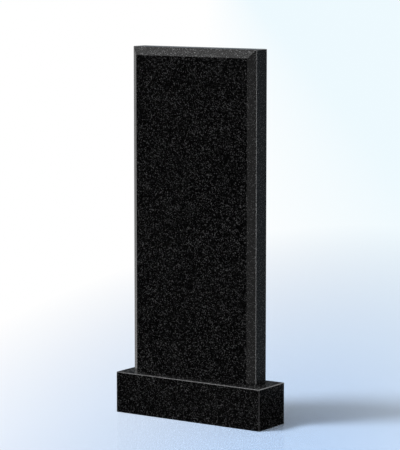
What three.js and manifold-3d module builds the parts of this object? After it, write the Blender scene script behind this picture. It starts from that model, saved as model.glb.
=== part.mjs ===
// A polished granite headstone in two stones: a tall slab, the stele, whose front is framed by
// wide bevels along its top and sides, standing on a plain rectangular block, the plinth.
// Millimetres, +Z up. The inscription side faces -Y, and the origin is the centre of the underside.

import * as THREE from "three";
import { mergeVertices } from "three/addons/utils/BufferGeometryUtils.js";
import Module from "manifold-3d";

// The stele
const STELE_WIDTH = 480;
const STELE_THICKNESS = 80;
const STELE_HEIGHT = 1080;
const SIDE_BEVEL_WIDTH = 24; // seen from the front
const TOP_BEVEL_HEIGHT = 28; // seen from the front
const BEVEL_DEPTH = 19; // how far every bevel falls back behind the front face
const STELE_ARRIS = 1.5; // width that an eased edge takes off each of its two faces

// The plinth, sized by how far it stands out around the stele
const LEDGE_FRONT = 27;
const LEDGE_BACK = 45;
const LEDGE_SIDE = 42.5;
const PLINTH_HEIGHT = 136;
const PLINTH_ARRIS = 2.5;

// The bed joint between the two stones
const BED_JOINT = 0.3;

const PLINTH_WIDTH = STELE_WIDTH + 2 * LEDGE_SIDE;
const PLINTH_DEPTH = LEDGE_FRONT + STELE_THICKNESS + LEDGE_BACK;
const STELE_CENTRE_Y = (LEDGE_FRONT - LEDGE_BACK) / 2;

const wasm = await Module();
wasm.setup();

// An outline through the corners, anticlockwise. Each corner is [across, up, arris], and one with
// an arris is replaced by two points at that distance from it.
function easedOutline(corners) {
  const points = corners.flatMap(([across, up, arris], i) => {
    const corner = new THREE.Vector2(across, up);
    if (arris === 0) return [corner];
    const before = new THREE.Vector2(...corners.at(i - 1));
    const after = new THREE.Vector2(...corners[(i + 1) % corners.length]);
    return [before, after].map((neighbour) =>
      neighbour.sub(corner).setLength(arris).add(corner),
    );
  });
  return new THREE.Shape(points);
}

// A closed geometry as a solid that can be cut.
function toSolid(geometry) {
  const bare = geometry.clone();
  bare.deleteAttribute("normal");
  bare.deleteAttribute("uv");
  const merged = mergeVertices(bare);
  const mesh = new wasm.Mesh({
    numProp: 3,
    vertProperties: merged.attributes.position.array,
    triVerts: new Uint32Array(merged.index.array),
  });
  return new wasm.Manifold(mesh);
}

// A solid as a geometry with flat faces.
function toGeometry(solid) {
  const mesh = solid.getMesh();
  const shared = new THREE.BufferGeometry();
  shared.setAttribute("position", new THREE.BufferAttribute(mesh.vertProperties, 3));
  shared.setIndex(new THREE.BufferAttribute(mesh.triVerts, 1));
  const geometry = shared.toNonIndexed();
  geometry.computeVertexNormals();
  return geometry;
}

// An outline drawn on the plane of two axes, extruded to both sides of that plane.
function prism(outline, acrossAxis, upAxis, length) {
  const geometry = new THREE.ExtrudeGeometry(outline, { depth: length, bevelEnabled: false });
  geometry.translate(0, 0, -length / 2);
  const lengthAxis = new THREE.Vector3().crossVectors(acrossAxis, upAxis);
  geometry.applyMatrix4(new THREE.Matrix4().makeBasis(acrossAxis, upAxis, lengthAxis));
  return toSolid(geometry);
}

// The stone that fills its plan, its front view and its side view all at once.
function dressedStone(plan, frontView, sideView, largestSize) {
  const X = new THREE.Vector3(1, 0, 0);
  const Y = new THREE.Vector3(0, 1, 0);
  const Z = new THREE.Vector3(0, 0, 1);
  const length = 2 * largestSize;
  const solid = prism(plan, X, Y, length)
    .intersect(prism(frontView, X, Z, length))
    .intersect(prism(sideView, Y, Z, length));
  return toGeometry(solid);
}

// The stele stands on Z = 0, and its bevels meet in mitres at the two top corners.
function steleGeometry() {
  const side = STELE_WIDTH / 2;
  const front = -STELE_THICKNESS / 2;
  const back = STELE_THICKNESS / 2;
  const ridge = front + BEVEL_DEPTH;
  const plan = easedOutline([
    [-side + SIDE_BEVEL_WIDTH, front, 0],
    [side - SIDE_BEVEL_WIDTH, front, 0],
    [side, ridge, STELE_ARRIS],
    [side, back, STELE_ARRIS],
    [-side, back, STELE_ARRIS],
    [-side, ridge, STELE_ARRIS],
  ]);
  const frontView = easedOutline([
    [-side, 0, 0],
    [side, 0, 0],
    [side, STELE_HEIGHT, STELE_ARRIS],
    [-side, STELE_HEIGHT, STELE_ARRIS],
  ]);
  const sideView = easedOutline([
    [front, 0, 0],
    [back, 0, 0],
    [back, STELE_HEIGHT, STELE_ARRIS],
    [ridge, STELE_HEIGHT, STELE_ARRIS],
    [front, STELE_HEIGHT - TOP_BEVEL_HEIGHT, 0],
  ]);
  return dressedStone(plan, frontView, sideView, STELE_HEIGHT + STELE_WIDTH);
}

// The plinth's upright edges and the four edges of its top are eased, and its foot is left sharp.
function plinthGeometry() {
  const side = PLINTH_WIDTH / 2;
  const face = PLINTH_DEPTH / 2;
  const plan = easedOutline([
    [-side, -face, PLINTH_ARRIS],
    [side, -face, PLINTH_ARRIS],
    [side, face, PLINTH_ARRIS],
    [-side, face, PLINTH_ARRIS],
  ]);
  const [frontView, sideView] = [side, face].map((half) =>
    easedOutline([
      [-half, 0, 0],
      [half, 0, 0],
      [half, PLINTH_HEIGHT, PLINTH_ARRIS],
      [-half, PLINTH_HEIGHT, PLINTH_ARRIS],
    ]),
  );
  return dressedStone(plan, frontView, sideView, PLINTH_HEIGHT + PLINTH_WIDTH + PLINTH_DEPTH);
}

// Black granite, polished
function polishedGranite() {
  return new THREE.MeshStandardMaterial({ color: 0x161617, roughness: 0.12, metalness: 0 });
}

const plinth = new THREE.Mesh(plinthGeometry(), polishedGranite());
plinth.name = "plinth";

const stele = new THREE.Mesh(steleGeometry(), polishedGranite());
stele.name = "stele";
stele.position.set(0, STELE_CENTRE_Y, PLINTH_HEIGHT + BED_JOINT);

const headstone = new THREE.Group();
headstone.name = "headstone";
headstone.add(plinth, stele);

export default headstone;
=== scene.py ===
"""The looks of a polished black granite headstone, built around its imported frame."""

import math

import bmesh
import bpy
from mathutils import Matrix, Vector


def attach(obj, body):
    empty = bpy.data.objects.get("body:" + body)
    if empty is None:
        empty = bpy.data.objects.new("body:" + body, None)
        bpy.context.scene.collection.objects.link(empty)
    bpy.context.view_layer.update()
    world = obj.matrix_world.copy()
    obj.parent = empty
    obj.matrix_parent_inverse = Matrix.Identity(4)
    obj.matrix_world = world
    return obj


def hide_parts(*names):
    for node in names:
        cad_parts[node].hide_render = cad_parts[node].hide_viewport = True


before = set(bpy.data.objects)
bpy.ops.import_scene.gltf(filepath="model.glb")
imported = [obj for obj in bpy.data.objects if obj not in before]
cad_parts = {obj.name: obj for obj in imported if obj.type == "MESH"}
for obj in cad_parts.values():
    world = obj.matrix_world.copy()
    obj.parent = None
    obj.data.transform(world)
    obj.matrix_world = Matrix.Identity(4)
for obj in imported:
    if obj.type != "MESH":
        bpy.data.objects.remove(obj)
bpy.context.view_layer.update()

# Camera: where the photograph was taken from, in metres, its turn and its dip in degrees, its lens
# and sensor in millimetres, and how far it sees, in metres
CAMERA_PLACE = (4.1192, -6.0622, 1.5374)
CAMERA_YAW = 34.177
CAMERA_PITCH = 6.990
CAMERA_LENS = 181.27
CAMERA_SENSOR = 36.0
CAMERA_REACH = 500.0

# Stones: how their edges are rounded and how their faces are told apart, with lengths in metres
MICRO_ROUND = 0.0003
MICRO_ROUND_STEPS = 2
MICRO_ROUND_PROFILE = 0.5
WELD_DISTANCE = 0.000001
FLAT_ANGLE = math.radians(0.5)
EDGE_ANGLE = math.radians(15)
WIDEST_ARRIS = 0.006
UNDERSIDE_NORMAL_Z = -0.9
LARGE_FACE_WEIGHT = 100

# Grains: how many lie along a metre, how the random number of each one turns into paleness, how
# much of the pattern the small laths make up, how finely and how far in metres the outlines are
# bent, and how finely the polish varies
GRAINS_PER_METRE = 430.0
GRAIN_PALENESS = [(0.0, 0.0), (0.81, 0.0), (0.91, 0.45), (1.0, 1.0)]
LATHS_PER_METRE = 760.0
LATH_PALENESS = [(0.0, 0.0), (0.70, 0.03), (1.0, 0.9)]
LATH_SHARE = 0.14
BENDS_PER_METRE = 400.0
BEND_DETAIL = 1.0
BEND_REACH = 0.0015
SMEARS_PER_METRE = 35.0
SMEAR_DETAIL = 4.0

# Granite: the tints of its dark and pale grains, and how strongly it mirrors
DARK_TINT = (1.0, 1.0, 1.05)
PALE_TINT = (1.0, 1.01, 1.03)
GRANITE_IOR = 1.5

# Where in the block of granite each stone is cut from, in metres
BLOCK_PLACES = {"plinth": (3.1, 1.7, 0.4), "stele": (0.0, 0.0, 0.0)}

# The three finishes of the one granite: its dark grains, its pale grains, how rough the surface
# is, and how deep its grains stand out in metres
FINISHES = {
    "polished": {"dark": 0.0006, "pale": 0.26, "roughness": (0.045, 0.075), "relief": 0.000004},
    "ground": {"dark": 0.08, "pale": 0.32, "roughness": (0.20, 0.28), "relief": 0.00004},
    "sawn": {"dark": 0.030, "pale": 0.14, "roughness": (0.55, 0.70), "relief": 0.00015},
}

# Floor: its size and how far it lies below the headstone's foot, in metres, its paint, and the
# strength, roughness and IOR of its gloss
FLOOR_SIZE = 120.0
FLOOR_DROP = 0.0002
FLOOR_PAINT = (0.188, 0.250, 0.345, 1.0)
FLOOR_GLOSS = (3.4, 3.4, 3.4, 1.0)
FLOOR_GLOSS_ROUGHNESS = 0.05
FLOOR_GLOSS_IOR = 1.5

# The pool that the paint covers: its middle, its turn, its width as a share of its length, and how
# far to its side, in metres, the paint starts to fade into the painted glow and has gone
POOL_CENTRE = (0.85, -0.85, 0.0)
POOL_YAW = math.radians(28)
POOL_STRETCH = 0.24
POOL_FADE = (0.20, 1.55)

# Painted light: a white glow that the floor gives off around the pool. It turns to a pale blue in
# one direction and back to white far away
GLOW_YAW = math.radians(34)
GLOW_REACH = 40.0
TINT = (0.85, 0.95, 0.995)
GLOW_STOPS = [(0.0, 1.0), (0.033, TINT), (0.25, TINT), (1.0, 1.0)]

# Floor lights: the direction each stands in, how wide it is in degrees, and its strength
FLOOR_LIGHTS = {
    "key": ((-0.38, -0.42, 0.82), 16.0, 8.2),
    "fill": ((0.0, -0.82, 0.57), 45.0, 1.0),
}

# Softboxes: the direction they stand in, how wide they are from full light to none in degrees,
# and their light
SOFTBOXES = {
    "zenith": ((-0.12, -0.12, 0.98), 12, 26, (9.6, 9.6, 9.6)),
    "high_left": ((-0.56, -0.45, 0.70), 10, 26, (0.91, 0.91, 0.91)),
    "back_high": ((0.0, 0.743, 0.669), 10, 30, (1.4, 1.4, 1.4)),
    "left": ((-0.93, 0.36, 0.0), 12, 34, (0.66, 0.66, 0.66)),
    "right": ((0.98, 0.16, -0.12), 5.5, 9, (4.80, 4.84, 4.92)),
    "front_right": ((0.66, -0.75, -0.06), 14, 38, (0.35, 0.35, 0.35)),
    "back": ((0.10, 1.0, 0.0), 35, 60, (0.163, 0.191, 0.212)),
}
BASE_LIGHT = (0.004, 0.004, 0.005)
BACKDROP = (1.0, 1.0, 1.0, 1.0)

# How the back softbox's light changes with the height of the direction: it stands on a dark sill,
# which the plinth mirrors, is brightest just above the horizon, and is weaker higher up. The places
# of the shares run from 0 at the lower height to 1 at the upper one
BACK_HEIGHTS = (-0.25, 0.25)
BACK_SHARES = [
    (0.0, 0.0), (0.108, 0.0), (0.128, 0.77), (0.45, 0.77), (0.56, 1.0), (0.62, 1.0), (0.76, 0.20)
]


def new_material(name):
    """An empty node material and its node tree."""
    material = bpy.data.materials.new(name)
    material.use_nodes = True
    material.node_tree.nodes.clear()
    return material, material.node_tree


def add(tree, kind, inputs=None, **settings):
    """A node of this kind. Each input takes a plain value or another node's output."""
    node = tree.nodes.new(kind)
    for name, value in settings.items():
        setattr(node, name, value)
    for key, value in (inputs or {}).items():
        if isinstance(value, bpy.types.NodeSocket):
            tree.links.new(value, node.inputs[key])
        else:
            node.inputs[key].default_value = value
    return node


def ramp(tree, factor, stops):
    """The colour that a ramp gives for a factor. Each stop is a place and a grey or a colour."""
    node = add(tree, "ShaderNodeValToRGB", {"Fac": factor})
    elements = node.color_ramp.elements
    elements.remove(elements[-1])
    for i, (place, colour) in enumerate(stops):
        if isinstance(colour, (int, float)):
            colour = (colour, colour, colour)
        element = elements[0] if i == 0 else elements.new(place)
        element.position = place
        element.color = (*colour, 1.0)
    return node.outputs["Color"]


def remap(tree, value, start, end, low=0.0, high=1.0, **settings):
    """The value carried over from the range start to end into low to high, and held within it."""
    inputs = {"Value": value, "From Min": start, "From Max": end, "To Min": low, "To Max": high}
    return add(tree, "ShaderNodeMapRange", inputs, **settings).outputs["Result"]


def mix_shaders(tree, share, first, second):
    """Two shaders mixed, with this share of the second."""
    return add(tree, "ShaderNodeMixShader", {0: share, 1: first, 2: second}).outputs["Shader"]


def noise(tree, place, scale, detail):
    """Smooth noise, with a grey and a colour for each place."""
    return add(tree, "ShaderNodeTexNoise", {"Vector": place, "Scale": scale, "Detail": detail})


def cells(tree, place, scale, channel):
    """A random number from 0 to 1 for each of the grains that a Voronoi pattern divides stone into."""
    pattern = add(tree, "ShaderNodeTexVoronoi", {"Vector": place, "Scale": scale})
    numbers = add(tree, "ShaderNodeSeparateColor", {"Color": pattern.outputs["Color"]})
    return numbers.outputs[channel]


def granite_grains(tree, block):
    """How pale the granite is at each place: angular grains with smaller laths between them."""
    bend = noise(tree, block, BENDS_PER_METRE, BEND_DETAIL)
    bent = add(
        tree,
        "ShaderNodeVectorMath",
        {0: bend.outputs["Color"], 1: (BEND_REACH, BEND_REACH, BEND_REACH), 2: block},
        operation="MULTIPLY_ADD",
    ).outputs["Vector"]
    grains = ramp(tree, cells(tree, bent, GRAINS_PER_METRE, "Red"), GRAIN_PALENESS)
    laths = ramp(tree, cells(tree, bent, LATHS_PER_METRE, "Green"), LATH_PALENESS)
    return add(
        tree,
        "ShaderNodeMix",
        {"Factor": LATH_SHARE, "A": grains, "B": laths},
        data_type="RGBA",
    ).outputs["Result"]


def granite(name, offset, finish):
    """Black granite in one finish: dark interlocking grains with small pale feldspar grains."""
    material, tree = new_material(name)
    place = add(tree, "ShaderNodeTexCoord").outputs["Object"]
    block = add(
        tree, "ShaderNodeVectorMath", {0: place, 1: offset}, operation="ADD"
    ).outputs["Vector"]
    paleness = granite_grains(tree, block)
    dark = tuple(finish["dark"] * tint for tint in DARK_TINT)
    pale = tuple(finish["pale"] * tint for tint in PALE_TINT)
    smear = noise(tree, block, SMEARS_PER_METRE, SMEAR_DETAIL)
    bump = add(tree, "ShaderNodeBump", {"Distance": finish["relief"], "Height": paleness})
    shader = add(
        tree,
        "ShaderNodeBsdfPrincipled",
        {
            "Base Color": ramp(tree, paleness, [(0.0, dark), (1.0, pale)]),
            "Roughness": remap(tree, smear.outputs["Fac"], 0.0, 1.0, *finish["roughness"]),
            "IOR": GRANITE_IOR,
            "Normal": bump.outputs["Normal"],
        },
    )
    add(tree, "ShaderNodeOutputMaterial", {"Surface": shader.outputs["BSDF"]})
    return material


def finish_of(face):
    """The finish of a stone's flat face: its underside is sawn and its narrow arrises are ground."""
    if face.normal.z < UNDERSIDE_NORMAL_Z:
        return "sawn"
    longest = max(edge.calc_length() for edge in face.edges)
    if face.calc_area() / longest < WIDEST_ARRIS:
        return "ground"
    return "polished"


def dressed_stone(node, offset):
    """The node's solid as a finished stone, cut from its own place in the block of granite."""
    mesh = bpy.data.meshes.new(node + "_stone")
    for finish_name, finish in FINISHES.items():
        mesh.materials.append(granite(node + "_" + finish_name, offset, finish))

    shape = bmesh.new()
    shape.from_mesh(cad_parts[node].data)
    bmesh.ops.remove_doubles(shape, verts=shape.verts, dist=WELD_DISTANCE)
    bmesh.ops.dissolve_limit(
        shape, angle_limit=FLAT_ANGLE, verts=shape.verts, edges=shape.edges
    )
    for face in shape.faces:
        face.material_index = list(FINISHES).index(finish_of(face))
    bmesh.ops.bevel(
        shape,
        geom=[edge for edge in shape.edges if edge.calc_face_angle(0.0) > EDGE_ANGLE],
        offset=MICRO_ROUND,
        offset_type="OFFSET",
        segments=MICRO_ROUND_STEPS,
        profile=MICRO_ROUND_PROFILE,
        affect="EDGES",
        clamp_overlap=True,
    )
    for face in shape.faces:
        face.smooth = True
    shape.to_mesh(mesh)
    shape.free()

    piece = bpy.data.objects.new(node + "_stone", mesh)
    bpy.context.scene.collection.objects.link(piece)
    piece.modifiers.new("face_normals", "WEIGHTED_NORMAL").weight = LARGE_FACE_WEIGHT
    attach(piece, "root")
    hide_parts(node)


def floor_paint(tree):
    """Pale blue semi-gloss paint."""
    paint = add(tree, "ShaderNodeBsdfDiffuse", {"Color": FLOOR_PAINT})
    gloss = add(
        tree, "ShaderNodeBsdfGlossy", {"Color": FLOOR_GLOSS, "Roughness": FLOOR_GLOSS_ROUGHNESS}
    )
    shine = add(tree, "ShaderNodeFresnel", {"IOR": FLOOR_GLOSS_IOR}).outputs["Fac"]
    return mix_shaders(tree, shine, paint.outputs["BSDF"], gloss.outputs["BSDF"])


def floor_painted_glow(tree, place):
    """A painted glow that the floor gives off, white turning pale blue right of the headstone."""
    across = add(
        tree,
        "ShaderNodeVectorMath",
        {0: place, 1: (math.cos(GLOW_YAW), math.sin(GLOW_YAW), 0.0)},
        operation="DOT_PRODUCT",
    ).outputs["Value"]
    glow_colour = ramp(tree, remap(tree, across, 0.0, GLOW_REACH), GLOW_STOPS)
    return add(tree, "ShaderNodeEmission", {"Color": glow_colour}).outputs["Emission"]


def floor_material():
    """Paint in a long soft pool past the headstone's right side, fading to a painted white glow around
    it.
    """
    material, tree = new_material("pale_floor")
    place = add(tree, "ShaderNodeTexCoord").outputs["Object"]
    pool = add(
        tree,
        "ShaderNodeMapping",
        {
            "Vector": place,
            "Location": POOL_CENTRE,
            "Rotation": (0.0, 0.0, POOL_YAW),
            "Scale": (1.0, 1.0 / POOL_STRETCH, 1.0),
        },
        vector_type="TEXTURE",
    ).outputs["Vector"]
    distance = add(tree, "ShaderNodeVectorMath", {0: pool}, operation="LENGTH").outputs["Value"]
    # The share of painted glow, which replaces the lit paint away from the pool
    glow_share = remap(tree, distance, *POOL_FADE)
    paint_and_glow = mix_shaders(tree, glow_share, floor_paint(tree), floor_painted_glow(tree, place))
    add(tree, "ShaderNodeOutputMaterial", {"Surface": paint_and_glow})
    return material


def floor():
    """A pale floor of lit paint and painted glow, left out of what the stones reflect."""
    half = FLOOR_SIZE / 2
    corners = [(-half, -half, 0.0), (half, -half, 0.0), (half, half, 0.0), (-half, half, 0.0)]
    mesh = bpy.data.meshes.new("floor")
    mesh.from_pydata(corners, [], [tuple(range(len(corners)))])
    mesh.materials.append(floor_material())
    piece = bpy.data.objects.new("floor", mesh)
    piece.location.z = -FLOOR_DROP
    piece.visible_glossy = False
    piece.visible_diffuse = False
    bpy.context.scene.collection.objects.link(piece)
    return piece


def floor_lights(lit_floor):
    """A key light and a broad fill on the floor alone, which throw the shadow back to the right."""
    receivers = bpy.data.collections.new("lit_by_floor_lights")
    receivers.objects.link(lit_floor)
    for name, (towards, angle, strength) in FLOOR_LIGHTS.items():
        lamp = bpy.data.lights.new(name, "SUN")
        lamp.energy = strength
        lamp.angle = math.radians(angle)
        light = bpy.data.objects.new(name, lamp)
        light.rotation_euler = (-Vector(towards)).to_track_quat("-Z", "Y").to_euler()
        light.visible_glossy = False
        light.light_linking.receiver_collection = receivers
        bpy.context.scene.collection.objects.link(light)


def softbox_light(tree):
    """The light that comes from each direction: the softboxes over a faint base light."""
    direction = add(tree, "ShaderNodeTexCoord").outputs["Generated"]
    height = add(tree, "ShaderNodeSeparateXYZ", {"Vector": direction}).outputs["Z"]
    back_share = ramp(tree, remap(tree, height, *BACK_HEIGHTS), BACK_SHARES)
    light = BASE_LIGHT
    for name, (towards, full, none, colour) in SOFTBOXES.items():
        facing = add(
            tree,
            "ShaderNodeVectorMath",
            {0: direction, 1: Vector(towards).normalized()},
            operation="DOT_PRODUCT",
        ).outputs["Value"]
        share = remap(
            tree,
            facing,
            math.cos(math.radians(none)),
            math.cos(math.radians(full)),
            high=back_share if name == "back" else 1.0,
            interpolation_type="SMOOTHSTEP",
        )
        light = add(
            tree,
            "ShaderNodeVectorMath",
            {0: share, 1: colour, 2: light},
            operation="MULTIPLY_ADD",
        ).outputs["Vector"]
    return light


def studio():
    """A soft studio: pale all round for the camera, softboxes for what the stones reflect."""
    world = bpy.data.worlds.new("studio")
    bpy.context.scene.world = world
    world.use_nodes = True
    tree = world.node_tree
    tree.nodes.clear()
    lit = add(tree, "ShaderNodeBackground", {"Color": softbox_light(tree)}).outputs["Background"]
    backdrop = add(tree, "ShaderNodeBackground", {"Color": BACKDROP}).outputs["Background"]
    seen = add(tree, "ShaderNodeLightPath").outputs["Is Camera Ray"]
    add(tree, "ShaderNodeOutputWorld", {"Surface": mix_shaders(tree, seen, lit, backdrop)})


def camera():
    """The photograph's camera."""
    lens = bpy.data.cameras.new("camera")
    lens.lens = CAMERA_LENS
    lens.sensor_width = CAMERA_SENSOR
    lens.clip_end = CAMERA_REACH
    piece = bpy.data.objects.new("camera", lens)
    piece.location = CAMERA_PLACE
    piece.rotation_euler = (math.radians(90 - CAMERA_PITCH), 0, math.radians(CAMERA_YAW))
    bpy.context.scene.collection.objects.link(piece)
    bpy.context.scene.camera = piece


camera()
for stone, block_place in BLOCK_PLACES.items():
    dressed_stone(stone, block_place)
studio()
floor_lights(floor())
bpy.context.scene.view_settings.view_transform = "Standard"
